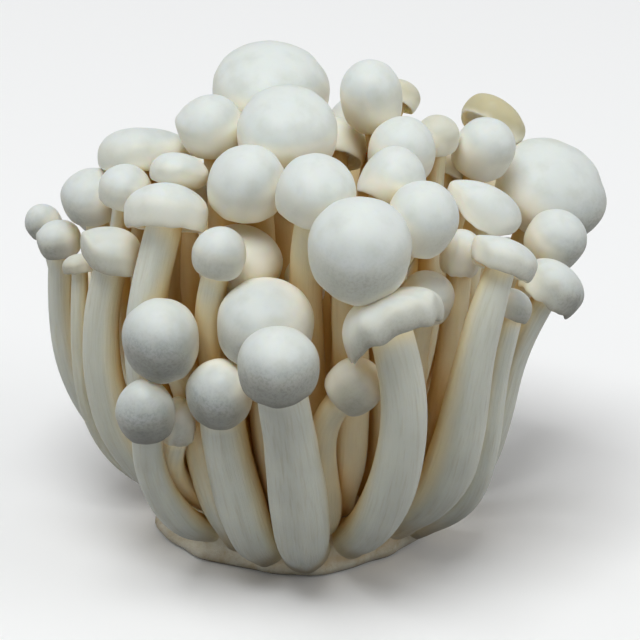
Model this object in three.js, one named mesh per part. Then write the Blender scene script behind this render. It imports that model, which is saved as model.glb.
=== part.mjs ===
// A bunch of white beech mushrooms, grown from one joined base and standing on its cut face.
// Millimetres, +Z up. The origin is the middle of the cut face, and the bunch's front faces -Y.
import * as THREE from 'three';

const rad = THREE.MathUtils.degToRad;
const vec = (x, y, z) => new THREE.Vector3(x, y, z);

// The joined base: half an ellipsoid, cut flat at z = 0, with shallow lobes round its skirt
const BASE = vec(37, 33, 27);
const BASE_SIDES = 28;
const BASE_CLIMBS = [0, 9, 22, 40, 62].map(rad);
const CUT_SHARE = 0.95;
const LOBES = 9;
const LOBE_DEPTH = 0.07;
const LOBE_TOP = rad(15);

// Where the stems grow from: the gap under each foot, the least height of a root, and how far down
// the base's side the roots come of mushrooms that stand at the outermost share of the crown
const FOOT_GAP = 0.4;
const LOWEST_ROOT = 3;
const OUTERMOST = 1.05;
const OUTERMOST_ROOT = rad(14);

// The crown: the dome that the middles of the outermost caps lie on
const CROWN_MIDDLE = vec(3, 3, 58);
const CROWN = vec(66, 54, 58);

// The eye in front of the bunch, by which the caps are placed. Across and up are measured in the
// plane through the origin that faces the eye, and near is the way from that plane to the eye.
const EYE_ELEVATION = rad(24);
const EYE_DISTANCE = 700;
const EYE_ACROSS = 5.2;
const EYE_UP = 50.7;
const ACROSS = vec(1, 0, 0);
const UP = vec(0, Math.sin(EYE_ELEVATION), Math.cos(EYE_ELEVATION));
const NEAR = vec(0, -Math.cos(EYE_ELEVATION), Math.sin(EYE_ELEVATION));
const EYE = vec(0, 0, 0)
  .addScaledVector(ACROSS, EYE_ACROSS)
  .addScaledVector(UP, EYE_UP)
  .addScaledVector(NEAR, EYE_DISTANCE);

// A stem's bands and sides, the share of its length at which it is thickest, its foot's diameter as
// a share of that, and how long it keeps the direction of its root and of its cap
const STEM_BANDS = 5;
const STEM_SIDES = 8;
const BELLY_AT = 0.4;
const FOOT_SHARE = 0.72;
const STEM_REACH = 0.38;

// A cap's profile from the apex to the margin, as shares of its radius and its height: that of an
// open cap, and that of one whose margin is still tucked in under it
const CAP_SIDES = 12;
const OPEN_PROFILE = [[0.44, 0.93], [0.79, 0.73], [1, 0.4], [0.94, 0.07]];
const TUCKED_PROFILE = [[0.44, 0.94], [0.79, 0.8], [1, 0.5], [0.72, 0.05]];
const NECK_HEIGHT = 0.14;

// The gills, larger than life: a ring of ridges under the cap, from round the neck to the margin.
// Their inner edge is beyond the neck, but never further out than a share of their outer edge.
const GILL_SIDES = 24;
const GILL_RELIEF = 0.035;
const GILL_INNER = { beyondNeck: 1.2, radius: 0.03, most: 0.9, height: 0.17, relief: 0.5 };
const GILL_OUTER = { withinMargin: 0.81, height: 0.1, relief: 1 };

// The waves of a cap's margin: how far they widen it, how many there are, and how far they lift it
const WAVE_SEED = 7;
const WAVE_DEPTH = [0.015, 0.035];
const WAVE_COUNTS = [2, 3];
const WAVE_LIFT = 0.6;
const DROOP_DRAW = 0.5;
const MARGIN_POWER = 3;

// Each mushroom in sight. seen is where the eye sees the middle of its cap, across and up, and how
// far that is sunk behind the crown. cap is the cap's diameter, and its height as a share of that.
// tilt is the cap's roll to the right and its turn towards the eye, in degrees. stem is the stem's
// diameter at its neck and its belly, and bow is how far it bows to the right. tuck is how far the
// cap's margin is tucked in, from 0 to 1. droop lists the hanging and lifted sides of the cap: the
// direction of each round the axis, in degrees, and how far it hangs as a share of the radius.
const IN_SIGHT = {
  crown_1: { seen: [-7.5, 112.5, 4], cap: [29.5, 0.58], tilt: [6, 38], stem: [9, 11] },
  crown_2: { seen: [-3.5, 102, 0], cap: [24, 0.62], tilt: [4, 45], stem: [8, 9.5] },
  crown_3: { seen: [-23.5, 102, 3], cap: [16.5, 0.8], tilt: [-15, 32], stem: [6.5, 8], tuck: 0.6 },
  crown_4: { seen: [18.5, 109.5, 0], cap: [15, 1.12], tilt: [-8, 40], stem: [6, 7.5], tuck: 0.8 },
  crown_5: { seen: [26.5, 109.5, 8], cap: [10, 0.65], tilt: [28, -12], stem: [5, 6] },
  crown_6: { seen: [27, 96.5, 2], cap: [16, 0.85], tilt: [12, 45], stem: [6, 7.5] },
  crown_7: { seen: [36, 99.5, 8], cap: [10.5, 0.8], tilt: [5, 35], stem: [5, 6.5] },
  crown_8: { seen: [48.5, 96.5, 0], cap: [15, 0.94], tilt: [22, 38], stem: [5, 6.5], tuck: 0.4 },
  crown_9: { seen: [51, 103, 14], cap: [17.5, 0.5], tilt: [38, -15], stem: [6, 7] },
  left_1: { seen: [-40.5, 95.5, 4], cap: [24, 0.44], tilt: [3, 4], stem: [7.5, 8.5] },
  left_2: { seen: [-44.5, 85.5, 11], cap: [13, 0.7], tilt: [12, 30], stem: [5, 7] },
  left_3: { seen: [-54.5, 84, 1], cap: [15.5, 0.7], tilt: [-12, 38], stem: [5.5, 7.5], bow: -1 },
  left_4: { seen: [-67.5, 77, 4], cap: [9, 0.82], tilt: [-28, 22], stem: [5, 6.5], bow: -3 },
  left_5: { seen: [-62.5, 72, 0], cap: [11, 0.77], tilt: [-8, 28], stem: [6, 7], bow: -4, tuck: 0.5 },
  left_6: { seen: [-57.5, 65.5, 0], cap: [8.5, 0.53], tilt: [-8, 8], stem: [4, 5.5], bow: -3 },
  left_7: {
    seen: [-48.5, 69.5, 0], cap: [15.5, 0.58], tilt: [10, 22], stem: [8, 10], bow: -3,
    droop: [[350, 0.15], [180, -0.15]],
  },
  left_8: { seen: [-31.5, 90, 2], cap: [14, 0.54], tilt: [12, 10], stem: [6, 7.5], tuck: 0.7 },
  left_9: { seen: [-34.5, 80, 0], cap: [20, 0.56], tilt: [4, -2], stem: [8.5, 10], bow: -2 },
  middle_1: { seen: [-13.5, 87.5, 0], cap: [18, 0.82], tilt: [8, 50], stem: [7.5, 8.5] },
  middle_2: { seen: [4.5, 85, 0], cap: [18.5, 0.7], tilt: [14, 42], stem: [7.5, 8.5] },
  middle_3: {
    seen: [-20.5, 68.5, 2], cap: [12.5, 0.88], tilt: [10, 30], stem: [6.5, 8], bow: -2, tuck: 0.8,
  },
  middle_4: { seen: [-14.5, 68, 18], cap: [20, 0.72], tilt: [16, 30], stem: [7, 8] },
  middle_5: { seen: [-9, 51.5, 7], cap: [22.5, 0.72], tilt: [5, 42], stem: [8, 9] },
  middle_6: { seen: [1.5, 62, 19], cap: [10, 1.15], tilt: [0, 25], stem: [5.5, 6.5], tuck: 0.4 },
  middle_7: { seen: [15.5, 70.5, -5], cap: [23.5, 0.82], tilt: [4, 52], stem: [8, 9] },
  middle_8: { seen: [25, 89.5, 0], cap: [16, 0.7], tilt: [28, 25], stem: [6.5, 7.5], droop: [[180, 0.3]] },
  middle_9: { seen: [32, 78, -1], cap: [17, 0.86], tilt: [25, 42], stem: [7, 8] },
  middle_10: { seen: [33, 57.5, 8], cap: [13, 0.8], tilt: [18, 35], stem: [6, 7] },
  right_1: { seen: [66.5, 86.5, 0], cap: [28.5, 0.54], tilt: [28, 48], stem: [8.5, 9.5] },
  right_2: {
    seen: [48.5, 81.5, 1], cap: [19.5, 0.41], tilt: [24, 5], stem: [6.5, 8],
    droop: [[270, 0.25]],
  },
  right_3: { seen: [67, 72.5, 0], cap: [15, 0.78], tilt: [35, 40], stem: [6.5, 7.5] },
  right_4: { seen: [42, 68.5, 8], cap: [10, 1.08], tilt: [5, 20], stem: [6, 7], tuck: 0.5 },
  right_5: { seen: [52.5, 67, -2], cap: [16.5, 0.5], tilt: [20, 0], stem: [7, 12.5] },
  right_6: { seen: [66, 60, 0], cap: [16, 0.66], tilt: [36, 8], stem: [6, 7] },
  right_7: { seen: [55.5, 55, 0], cap: [10, 0.67], tilt: [22, 12], stem: [7, 8] },
  front_1: { seen: [-36, 47, -2], cap: [18, 0.9], tilt: [-5, 55], stem: [7.5, 9] },
  front_2: { seen: [-39.5, 28, -2], cap: [14, 1.03], tilt: [-8, 50], stem: [7, 8], tuck: 0.5 },
  front_3: { seen: [-31.5, 25.5, 6], cap: [8.5, 1.35], tilt: [5, 25], stem: [6, 7] },
  front_4: { seen: [-21, 32.5, -3], cap: [15.5, 0.87], tilt: [0, 55], stem: [10.5, 12] },
  front_5: { seen: [-5.5, 40.5, -3], cap: [18.5, 0.76], tilt: [0, 42], stem: [11, 14], bow: 1.5 },
  front_6: {
    seen: [21.8, 52.5, 0], cap: [27, 0.4], tilt: [-18, 5], stem: [10, 12],
    droop: [[186, 0.35], [275, -0.15]],
  },
  front_7: { seen: [15, 34.5, 6], cap: [13, 0.92], tilt: [48, 25], stem: [6.5, 7.5], tuck: 0.5 },
};

// The mushrooms that fill the top of the crown behind those, out of the eye's sight
const BEHIND = {
  rear_top_1: { seen: [-33, 88, 32], cap: [16, 0.7], tilt: [-12, -18], stem: [6, 7.5] },
  rear_top_2: { seen: [-10, 97, 40], cap: [17, 0.65], tilt: [-4, -20], stem: [6.5, 8] },
  rear_top_3: { seen: [18, 95, 34], cap: [15, 0.75], tilt: [6, -20], stem: [6, 7.5] },
  rear_top_4: { seen: [40, 92, 32], cap: [14, 0.7], tilt: [14, -18], stem: [6, 7] },
};

// The rows at the back: degrees round the crown from +X, degrees above its middle, and cap diameters
const REAR_ROWS = [
  { name: 'rear_low', count: 6, from: 34, to: 162, climb: -6, cap: [18, 23] },
  { name: 'rear_high', count: 5, from: 36, to: 147, climb: 20, cap: [18, 22] },
  { name: 'rear_crown', count: 2, from: 74, to: 106, climb: 33, cap: [18, 20] },
];
const REAR_SEED = 41;
const REAR_JITTER = 5;
const REAR_TALL = [0.6, 0.85];
const REAR_NECK = 0.34;
const REAR_BELLY = 0.42;
const REAR_UPTURN = 0.5;

// How the crowd settles until no mushroom touches another: the rounds, the share of them in which
// caps still go back in depth, the clearance kept, and the balls by which a cap takes up its room
const SETTLE_ROUNDS = 400;
const EASING_SHARE = 0.7;
const CLEARANCE = 0.6;
const RING_BALLS = 8;
const DOME_BALL = 0.55;
const RIM_BALL = [0.17, 0.4];
const RIM_SHARE = 0.45;
const FLAT_BELOW = 0.9;

// How far caps and stems give way, and how far they spring back, in each round
const SIDEWAYS_SHARE = 0.12;
const SIDEWAYS_PULL = 0.15;
const LATE_PULL = 0.02;
const DEPTH_PULL = 0.06;
const CAP_YIELD = 0.15;
const STEM_STIFFNESS = 0.15;
const LEAST_LIFT = 1;

// Repeatable random numbers from 0 to 1 (mulberry32)
function randomFrom(seed) {
  let state = seed;
  return () => {
    state = (state + 0x6d2b79f5) | 0;
    let mixed = Math.imul(state ^ (state >>> 15), 1 | state);
    mixed = (mixed + Math.imul(mixed ^ (mixed >>> 7), 61 | mixed)) ^ mixed;
    return ((mixed ^ (mixed >>> 14)) >>> 0) / 4294967296;
  };
}

const between = ([low, high], share) => THREE.MathUtils.lerp(low, high, share);

// The way out from the middle of a ball, for a turn round +Z from +X and a climb above the level
function wayOut(turn, climb) {
  return vec(Math.cos(turn) * Math.cos(climb), Math.sin(turn) * Math.cos(climb), Math.sin(climb));
}

// The point seen at (across, up), on the near side of the crown and sunk behind it
function pointInSight([across, up, sunk]) {
  const onPlane = vec(0, 0, 0).addScaledVector(ACROSS, across).addScaledVector(UP, up);
  const sight = EYE.clone().sub(onPlane).divideScalar(EYE_DISTANCE);
  const start = onPlane.clone().sub(CROWN_MIDDLE).divide(CROWN);
  const step = sight.clone().divide(CROWN);
  const closest = -start.dot(step) / step.lengthSq();
  const miss = start.clone().addScaledVector(step, closest).lengthSq();
  const near = closest + Math.sqrt(Math.max(0, 1 - miss) / step.lengthSq());
  return onPlane.addScaledVector(sight, near - sunk);
}

// The cap's axis for a roll to the right and a turn towards the eye, in degrees
function axisInSight([roll, face]) {
  const inPlane = vec(0, 0, 0)
    .addScaledVector(ACROSS, Math.sin(rad(roll)))
    .addScaledVector(UP, Math.cos(rad(roll)));
  return inPlane.multiplyScalar(Math.cos(rad(face))).addScaledVector(NEAR, Math.sin(rad(face)));
}

// The mushrooms of one of the tables above
function fromTable(table, hidden) {
  return Object.entries(table).map(([name, { seen, cap, tilt, stem, bow = 0, tuck = 0, droop = [] }]) => ({
    name,
    middle: pointInSight(seen),
    axis: axisInSight(tilt),
    cap: cap[0],
    height: cap[0] * cap[1],
    neck: stem[0],
    belly: stem[1],
    bow,
    tuck,
    droop,
    hidden,
  }));
}

// The mushrooms of one row at the back, with seeded differences
function rearRow(row, random) {
  const made = [];
  for (let i = 0; i < row.count; i += 1) {
    const turn = between([row.from, row.to], i / (row.count - 1)) + REAR_JITTER * (random() - 0.5);
    const climb = row.climb + REAR_JITTER * (random() - 0.5);
    const out = wayOut(rad(turn), rad(climb));
    const cap = between(row.cap, random());
    made.push({
      name: `${row.name}_${i + 1}`,
      middle: out.clone().multiply(CROWN).add(CROWN_MIDDLE),
      axis: out.clone().add(vec(0, 0, REAR_UPTURN)).normalize(),
      cap,
      height: cap * between(REAR_TALL, random()),
      neck: REAR_NECK * cap,
      belly: REAR_BELLY * cap,
      bow: 0,
      tuck: random(),
      droop: [],
      hidden: true,
    });
  }
  return made;
}

// The point of the base's surface, grown by the foot gap, on the line from its middle to a point
function onBase(point) {
  const grownBase = BASE.clone().addScalar(FOOT_GAP);
  const raised = vec(point.x, point.y, Math.max(point.z, LOWEST_ROOT));
  return raised.clone().divideScalar(raised.clone().divide(grownBase).length());
}

// The base's outward direction at a point of its surface
function baseNormal(point) {
  return point.clone().divide(BASE).divide(BASE).normalize();
}

// Where a mushroom grows from: inner caps from the top of the base, outer ones from low on its side
function rootOf(neck) {
  const aside = vec(neck.x / CROWN.x, neck.y / CROWN.y, 0);
  const outness = Math.min(1, aside.length() / OUTERMOST);
  const climb = between([Math.PI / 2, OUTERMOST_ROOT], outness);
  return onBase(wayOut(Math.atan2(aside.y, aside.x), climb).multiply(BASE));
}

// The stem's radius at a share of its length from the foot: swollen low down, slimmer at the neck
function stemRadius({ neck, belly }, share) {
  if (share < BELLY_AT) {
    return between([FOOT_SHARE * belly, belly], Math.sin((share / BELLY_AT) * (Math.PI / 2))) / 2;
  }
  return between([belly, neck], (share - BELLY_AT) / (1 - BELLY_AT)) / 2;
}

// A ring of balls round a cap's axis, as far out as the cap's edge, at a height from its middle
function ballRing({ axis, side, deep, cap }, radius, raised) {
  const balls = [];
  for (let k = 0; k < RING_BALLS; k += 1) {
    const turn = (k / RING_BALLS) * 2 * Math.PI;
    const offset = axis.clone().multiplyScalar(raised);
    offset.addScaledVector(side, Math.cos(turn) * (cap / 2 - radius));
    offset.addScaledVector(deep, Math.sin(turn) * (cap / 2 - radius));
    balls.push({ offset, radius });
  }
  return balls;
}

// Balls that fill a cap, as offsets from its middle: one in the dome, and rings along its edge
function capBalls(mushroom) {
  const { axis, cap, height } = mushroom;
  const dome = Math.min(cap / 2, DOME_BALL * height);
  const rim = Math.min(RIM_BALL[0] * cap, RIM_BALL[1] * height);
  const balls = [{ offset: axis.clone().multiplyScalar(height / 2 - dome), radius: dome }];
  balls.push(...ballRing(mushroom, rim, rim - RIM_SHARE * height));
  if (height < FLAT_BELOW * cap) balls.push(...ballRing(mushroom, height / 2, 0));
  return balls;
}

// A mushroom with its own axes, and a stem of straight lengths from the base to the cap
function grown(mushroom) {
  const { middle, axis, height, bow } = mushroom;
  const side = ACROSS.clone().addScaledVector(axis, -axis.dot(ACROSS)).normalize();
  const neckDrop = height * (0.5 - NECK_HEIGHT);
  const neck = middle.clone().addScaledVector(axis, -neckDrop);
  const root = rootOf(neck);
  const reach = STEM_REACH * neck.distanceTo(root);
  const leaving = root.clone().addScaledVector(baseNormal(root), reach);
  const arriving = neck.clone().addScaledVector(axis, -reach);
  const curve = new THREE.CubicBezierCurve3(root, leaving, arriving, neck);
  const path = curve.getSpacedPoints(STEM_BANDS);
  path.forEach((point, i) => point.addScaledVector(ACROSS, bow * Math.sin((i / STEM_BANDS) * Math.PI)));
  const made = { ...mushroom, side, deep: axis.clone().cross(side), neckDrop, path };
  made.home = middle.clone();
  made.radii = path.map((_, i) => stemRadius(mushroom, i / STEM_BANDS));
  made.balls = capBalls(made);
  made.bends = path.map((point, i) => {
    if (i === 0 || i === STEM_BANDS) return vec(0, 0, 0);
    return point.clone().sub(path[i - 1].clone().lerp(path[i + 1], 0.5));
  });
  return made;
}

// The closest points of two lengths of stem, as shares along each
function closestShares(a, b, c, d) {
  const ab = b.clone().sub(a);
  const cd = d.clone().sub(c);
  const ca = a.clone().sub(c);
  const [aa, bb, ac] = [ab.lengthSq(), cd.lengthSq(), ab.dot(cd)];
  const [da, dc] = [ab.dot(ca), cd.dot(ca)];
  const flat = aa * bb - ac * ac;
  const first = flat > 1e-9 ? THREE.MathUtils.clamp((ac * dc - da * bb) / flat, 0, 1) : 0.5;
  const second = THREE.MathUtils.clamp((ac * first + dc) / bb, 0, 1);
  return [THREE.MathUtils.clamp((ac * second - da) / aa, 0, 1), second];
}

// Moves a cap by a push. One in sight goes mostly along the line of sight, so that it stays where it
// is seen: towards the eye if sense is 1, and away from it if sense is -1.
function pushCap({ middle, hidden }, push, sense) {
  if (hidden) {
    middle.add(push);
    return;
  }
  const sideways = push.clone().addScaledVector(NEAR, -push.dot(NEAR));
  middle.addScaledVector(NEAR, sense * push.length()).addScaledVector(sideways, SIDEWAYS_SHARE);
}

function pushStem({ path }, band, share, push) {
  path[band].addScaledVector(push, 1 - share);
  path[band + 1].addScaledVector(push, share);
}

// Pushes two caps apart wherever balls of theirs are too close, and keeps their order in depth
function partCaps(one, other) {
  const sense = one.home.clone().sub(other.home).dot(NEAR) > 0 ? 1 : -1;
  for (const first of one.balls) {
    for (const second of other.balls) {
      const away = one.middle.clone().add(first.offset).sub(other.middle).sub(second.offset);
      const short = first.radius + second.radius + CLEARANCE - away.length();
      if (short > 0) {
        away.setLength(short / 4);
        pushCap(one, away, sense);
        pushCap(other, away.negate(), -sense);
      }
    }
  }
}

// Pushes a stem out of the way of another mushroom's cap, which yields a little
function partCapAndStem(capped, stemmed) {
  for (const ball of capped.balls) {
    for (let i = 0; i < STEM_BANDS; i += 1) {
      const start = stemmed.path[i];
      const length = stemmed.path[i + 1].clone().sub(start);
      const away = capped.middle.clone().add(ball.offset).sub(start);
      const share = THREE.MathUtils.clamp(away.dot(length) / length.lengthSq(), 0, 1);
      away.addScaledVector(length, -share);
      const thick = between([stemmed.radii[i], stemmed.radii[i + 1]], share);
      const short = ball.radius + thick + CLEARANCE - away.length();
      if (short > 0) {
        away.setLength(short / 2);
        const yielding = away.clone().multiplyScalar(capped.hidden ? 1 : CAP_YIELD);
        pushCap(capped, yielding, away.dot(NEAR) / away.length());
        pushStem(stemmed, i, share, away.negate());
      }
    }
  }
}

// Pushes two stems apart wherever lengths of theirs are too close
function partStems(one, other) {
  for (let i = 0; i < STEM_BANDS; i += 1) {
    for (let j = 0; j < STEM_BANDS; j += 1) {
      const [a, b, c, d] = [one.path[i], one.path[i + 1], other.path[j], other.path[j + 1]];
      const [first, second] = closestShares(a, b, c, d);
      const away = a.clone().lerp(b, first).sub(c.clone().lerp(d, second));
      const thickness = between([one.radii[i], one.radii[i + 1]], first)
        + between([other.radii[j], other.radii[j + 1]], second);
      const short = thickness + CLEARANCE - away.length();
      if (short > 0) {
        away.setLength(short / 2);
        pushStem(one, i, first, away);
        pushStem(other, j, second, away.negate());
      }
    }
  }
}

// Lets a mushroom spring back: its cap to its place, and its stem to its own curve. ease runs from 1
// to 0, and at 0 the cap no longer goes back in depth, and hardly goes back sideways.
function springBack(mushroom, ease) {
  const { path, middle, home, axis, neckDrop, radii, bends, hidden } = mushroom;
  const back = home.clone().sub(middle);
  const depth = back.dot(NEAR);
  back.addScaledVector(NEAR, -depth);
  middle.addScaledVector(NEAR, depth * DEPTH_PULL * ease);
  middle.addScaledVector(back, hidden ? DEPTH_PULL * ease : between([LATE_PULL, SIDEWAYS_PULL], ease));
  path[0].copy(onBase(path[0]));
  path[STEM_BANDS].copy(middle).addScaledVector(axis, -neckDrop);
  for (let i = 1; i < STEM_BANDS; i += 1) {
    const eased = path[i - 1].clone().lerp(path[i + 1], 0.5).add(bends[i]);
    path[i].lerp(eased, STEM_STIFFNESS);
    path[i].z = Math.max(path[i].z, radii[i] + LEAST_LIFT);
  }
}

// The space that a mushroom takes, with room to spare
function spaceOf({ cap, belly, path, middle }) {
  const thickest = Math.max(cap, belly) / 2;
  return new THREE.Box3().setFromPoints([...path, middle]).expandByScalar(thickest + CLEARANCE);
}

// The whole crowd, settled until no mushroom touches another
function settled(mushrooms) {
  for (let round = 0; round < SETTLE_ROUNDS; round += 1) {
    const spaces = mushrooms.map(spaceOf);
    for (let i = 0; i < mushrooms.length; i += 1) {
      for (let j = i + 1; j < mushrooms.length; j += 1) {
        if (spaces[i].intersectsBox(spaces[j])) {
          partCaps(mushrooms[i], mushrooms[j]);
          partCapAndStem(mushrooms[i], mushrooms[j]);
          partCapAndStem(mushrooms[j], mushrooms[i]);
          partStems(mushrooms[i], mushrooms[j]);
        }
      }
    }
    const ease = Math.max(0, 1 - round / (EASING_SHARE * SETTLE_ROUNDS));
    for (const mushroom of mushrooms) springBack(mushroom, ease);
  }
  return mushrooms;
}

// One closed surface through rings of points, from a single point at one end to one at the other.
// Neighbouring rings may differ in their counts.
function loftedGeometry(rings) {
  const starts = rings.map((_, i) => rings.slice(0, i).flat().length);
  const faces = [];
  for (let k = 0; k + 1 < rings.length; k += 1) {
    const [low, high] = [rings[k].length, rings[k + 1].length];
    let i = 0;
    let j = 0;
    while (i < (low > 1 ? low : 0) || j < (high > 1 ? high : 0)) {
      const onLow = high === 1 || (low > 1 && (i + 1) / low <= (j + 1) / high);
      const from = starts[k] + (i % low);
      const to = starts[k + 1] + (j % high);
      i += onLow ? 1 : 0;
      j += onLow ? 0 : 1;
      faces.push(from, onLow ? starts[k] + (i % low) : starts[k + 1] + (j % high), to);
    }
  }
  const geometry = new THREE.BufferGeometry().setFromPoints(rings.flat());
  geometry.setIndex(faces);
  geometry.computeVertexNormals();
  return geometry;
}

// A point of the foot's edge, slid along the stem's run until it meets the base grown by the gap
function footPoint(point, run) {
  const grownBase = BASE.clone().addScalar(FOOT_GAP);
  const start = point.clone().divide(grownBase);
  const step = run.clone().divide(grownBase);
  const half = start.dot(step) / step.lengthSq();
  const under = half * half - (start.lengthSq() - 1) / step.lengthSq();
  return point.clone().addScaledVector(run, -half + Math.sqrt(Math.max(0, under)));
}

// A ring of the stem, square to its run, with its first point on the cap's own side
function stemRing({ path, radii, side }, i) {
  const run = path[Math.min(i + 1, STEM_BANDS)].clone().sub(path[Math.max(i - 1, 0)]).normalize();
  const across = side.clone().addScaledVector(run, -run.dot(side)).normalize();
  const over = run.clone().cross(across);
  const ring = [];
  for (let k = 0; k < STEM_SIDES; k += 1) {
    const turn = (k / STEM_SIDES) * 2 * Math.PI;
    const point = path[i].clone().addScaledVector(across, Math.cos(turn) * radii[i]);
    ring.push(point.addScaledVector(over, Math.sin(turn) * radii[i]));
  }
  return i === 0 ? ring.map((point) => footPoint(point, run)) : ring;
}

// How far the cap's hanging sides come down in the direction of a turn, as a share of the radius
function hangingShare(droop, turn) {
  return droop.reduce((sum, [way, depth]) => sum + depth * Math.max(0, Math.cos(turn - rad(way))) ** 2, 0);
}

// A ring of the cap at a share of its radius and of its height, with its hanging sides and its waves.
// Every other point is raised by a relief, and those between them are lowered by it.
function capRing(mushroom, sides, radiusShare, heightShare, relief = 0) {
  const { middle, axis, side, deep, cap, height, droop, wave } = mushroom;
  const marginal = radiusShare ** MARGIN_POWER;
  const ring = [];
  for (let k = 0; k < sides; k += 1) {
    const turn = (k / sides) * 2 * Math.PI;
    const hang = hangingShare(droop, turn) * marginal;
    const ripple = wave.depth * Math.sin(wave.count * turn + wave.phase) * marginal;
    const radius = (cap / 2) * radiusShare * (1 + ripple - DROOP_DRAW * hang);
    const sunken = (cap / 2) * (hang + WAVE_LIFT * ripple);
    const raised = height * (heightShare - 0.5) - sunken + (k % 2 ? relief : -relief);
    const point = middle.clone().addScaledVector(axis, raised);
    point.addScaledVector(side, radius * Math.cos(turn));
    ring.push(point.addScaledVector(deep, radius * Math.sin(turn)));
  }
  return ring;
}

// A cap's profile, as far between an open one and a tucked one as its tuck says
function capProfile(tuck) {
  return OPEN_PROFILE.map(([radius, height], i) => {
    const [tuckedRadius, tuckedHeight] = TUCKED_PROFILE[i];
    return [between([radius, tuckedRadius], tuck), between([height, tuckedHeight], tuck)];
  });
}

// One mushroom: foot, stem, gills raised from the cap's underside, rolled margin and dome
function mushroomGeometry(mushroom) {
  const { path, neck, cap, tuck, middle, axis, height } = mushroom;
  const profile = capProfile(tuck);
  const [inner, outer] = [GILL_INNER, GILL_OUTER];
  const outerShare = profile[profile.length - 1][0] * outer.withinMargin;
  const innerShare = Math.min((neck / cap) * inner.beyondNeck + inner.radius, outerShare * inner.most);
  const relief = GILL_RELIEF * cap;
  const rings = [[path[0].clone()]];
  for (let i = 0; i <= STEM_BANDS; i += 1) rings.push(stemRing(mushroom, i));
  rings.push(capRing(mushroom, GILL_SIDES, innerShare, inner.height, relief * inner.relief));
  rings.push(capRing(mushroom, GILL_SIDES, outerShare, outer.height, relief * outer.relief));
  for (const [radiusShare, heightShare] of profile.reverse()) {
    rings.push(capRing(mushroom, CAP_SIDES, radiusShare, heightShare));
  }
  rings.push([middle.clone().addScaledVector(axis, height / 2)]);
  return loftedGeometry(rings);
}

// The joined base: a mound with a flat cut face below and shallow lobes round its skirt
function baseGeometry() {
  const rings = [[vec(0, 0, 0)]];
  for (const climb of BASE_CLIMBS) {
    const lobeDepth = climb < LOBE_TOP ? LOBE_DEPTH : 0;
    const share = climb > 0 ? 1 : CUT_SHARE;
    const ring = [];
    for (let k = 0; k < BASE_SIDES; k += 1) {
      const turn = (k / BASE_SIDES) * 2 * Math.PI;
      const width = share * (1 - lobeDepth * (0.5 + 0.5 * Math.cos(LOBES * turn)));
      ring.push(wayOut(turn, climb).multiply(vec(width, width, 1)).multiply(BASE));
    }
    rings.push(ring);
  }
  rings.push([vec(0, 0, BASE.z)]);
  return loftedGeometry(rings);
}

// Every mushroom of the bunch, each with the waves of its own margin
function crowd() {
  const rearRandom = randomFrom(REAR_SEED);
  const rear = REAR_ROWS.flatMap((row) => rearRow(row, rearRandom));
  const random = randomFrom(WAVE_SEED);
  return [...fromTable(IN_SIGHT, false), ...fromTable(BEHIND, true), ...rear].map((mushroom) => ({
    ...mushroom,
    wave: {
      depth: between(WAVE_DEPTH, random()),
      count: WAVE_COUNTS[Math.floor(WAVE_COUNTS.length * random())],
      phase: 2 * Math.PI * random(),
    },
  }));
}

function named(name, geometry, material) {
  const mesh = new THREE.Mesh(geometry, material);
  mesh.name = name;
  return mesh;
}

const flesh = new THREE.MeshStandardMaterial({ color: 0xe6e5dc, roughness: 0.55, metalness: 0 });
const butt = new THREE.MeshStandardMaterial({ color: 0xd9cfb6, roughness: 0.8, metalness: 0 });

const bunch = new THREE.Group();
bunch.add(named('joined_base', baseGeometry(), butt));
for (const mushroom of settled(crowd().map(grown))) {
  bunch.add(named(`mushroom_${mushroom.name}`, mushroomGeometry(mushroom), flesh));
}

export default bunch;
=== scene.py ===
"""A bunch of white beech mushrooms on a pale floor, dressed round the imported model.

The bunch is in millimetres until a mesh is made of it. The floor and the lights are in metres.
The frame is the model's: +Z up, front at -Y.
"""

import bpy
import numpy as np
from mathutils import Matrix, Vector
from mathutils.bvhtree import BVHTree


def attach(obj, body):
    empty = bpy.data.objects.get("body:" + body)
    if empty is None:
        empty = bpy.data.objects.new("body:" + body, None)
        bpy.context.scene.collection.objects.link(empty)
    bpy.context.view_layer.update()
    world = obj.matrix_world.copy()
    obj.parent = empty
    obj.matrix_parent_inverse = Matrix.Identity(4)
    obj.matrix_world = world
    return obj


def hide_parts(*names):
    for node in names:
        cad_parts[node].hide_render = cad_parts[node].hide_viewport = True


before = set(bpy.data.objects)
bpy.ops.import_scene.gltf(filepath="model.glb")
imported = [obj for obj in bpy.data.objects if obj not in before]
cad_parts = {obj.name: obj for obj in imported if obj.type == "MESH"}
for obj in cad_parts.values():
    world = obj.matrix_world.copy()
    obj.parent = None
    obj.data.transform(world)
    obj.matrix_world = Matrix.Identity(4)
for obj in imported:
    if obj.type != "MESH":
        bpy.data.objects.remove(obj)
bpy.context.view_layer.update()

MM = 0.001

# What the eye looks at and where it is, as in the model, its lens and sensor in millimetres, and the
# nearest and furthest that it sees in metres
TARGET = Vector((5.2, 20.6, 46.3)) * MM
CAMERA = Vector((5.2, -618.9, 331.0)) * MM
LENS = 151.4
SENSOR = 36
CLIP = [0.01, 20]

# The floor, the sky, and the lights: where each one is, its sides, its power in watts and its colour
FLOOR_REACH = 6
FLOOR_COLOUR = (0.9, 0.9, 0.9, 1)
FLOOR_ROUGHNESS = 0.9
SKY_COLOUR = (1, 1, 1, 1)
SKY_STRENGTH = 0.4
LIGHT_AIM = Vector((0, 0, 0.06))
LIGHTS = {
    "top": [(-0.4, -0.9, 2.8), (1.8, 1.4), 58, (0.97, 0.99, 1)],
    "left": [(-2.6, 0.2, 1.2), (1.4, 1.4), 4, (1, 1, 1)],
    "right": [(2.6, -0.6, 1.2), (1.4, 1.4), 17, (1, 1, 1)],
}

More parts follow.
